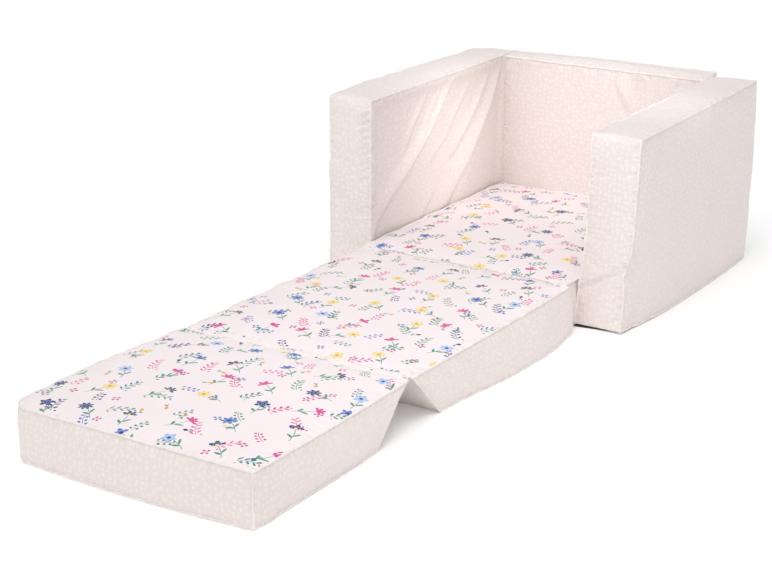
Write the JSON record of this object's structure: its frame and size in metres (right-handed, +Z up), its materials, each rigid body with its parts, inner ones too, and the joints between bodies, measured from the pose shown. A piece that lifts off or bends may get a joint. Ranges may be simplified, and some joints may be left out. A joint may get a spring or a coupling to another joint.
{
  "type": "toddler folding foam sofa",
  "caption": "Low foam sofa for a toddler: arms and back around a seat, with a middle pad and an end pad that fold out into a lounger; cloth-covered foam blocks.",
  "frame": {"origin": "centre of the open sofa's bounding box, on the floor", "axes": "+X across the seat to the right, seen from the foot end; +Y from the foot end to the back; +Z up"},
  "size_m": [0.664, 1.6159, 0.374],
  "materials": {
    "dotted_cloth": "pale pink plain-weave cotton with small white spots",
    "printed_cloth": "pinkish-white plain-weave cotton with small scattered flowers",
    "base_cloth": "dark grey non-slip cloth",
    "foam": "open-cell cut foam",
    "zip_tape": "woven tape with a plastic coil",
    "seam_tape": "woven tape",
    "zip_slider": "enamelled"
  },
  "bodies": {
    "surround": {"base_cloth": "base_cloth", "base_zip_tape": "zip_tape", "left_arm_inner_panel": "dotted_cloth", "left_arm_boxing": "dotted_cloth", "left_arm_outer_panel": "dotted_cloth", "left_arm_foam": "foam", "right_arm_inner_panel": "dotted_cloth", "right_arm_boxing": "dotted_cloth", "right_arm_outer_panel": "dotted_cloth", "right_arm_foam": "foam", "back_inner_panel": "dotted_cloth", "back_boxing": "dotted_cloth", "back_rear_panel": "dotted_cloth", "back_foam": "foam", "seat_underside": "dotted_cloth", "seat_side_band": "dotted_cloth", "seat_printed_top": "printed_cloth", "seat_foam": "foam", "seat_seam_tape": "seam_tape"},
    "middle_pad": {"middle_pad_underside": "dotted_cloth", "middle_pad_side_band": "dotted_cloth", "middle_pad_printed_top": "printed_cloth", "middle_pad_foam": "foam", "middle_pad_zip_tape": "zip_tape", "middle_pad_zip_slider": "zip_slider", "middle_pad_seam_tape": "seam_tape"},
    "end_pad": {"end_pad_underside": "dotted_cloth", "end_pad_side_band": "dotted_cloth", "end_pad_printed_top": "printed_cloth", "end_pad_foam": "foam", "end_pad_zip_tape": "zip_tape", "end_pad_zip_slider": "zip_slider"}
  },
  "joints": [
    {"name": "middle_pad_flip", "type": "hinge", "parent": "surround", "child": "middle_pad", "pos_m": [0, 0.17, 0.0955], "axis": [-1, 0, 0], "range_deg": [0, 180]},
    {"name": "end_pad_fold", "type": "hinge", "parent": "middle_pad", "child": "end_pad", "pos_m": [0, -0.383, 0.0955], "axis": [1, 0, 0], "range_deg": [0, 90]}
  ],
  "couplings": [
    {"joint": "end_pad_fold", "follows": "middle_pad_flip", "ratio": 0.5}
  ]
}
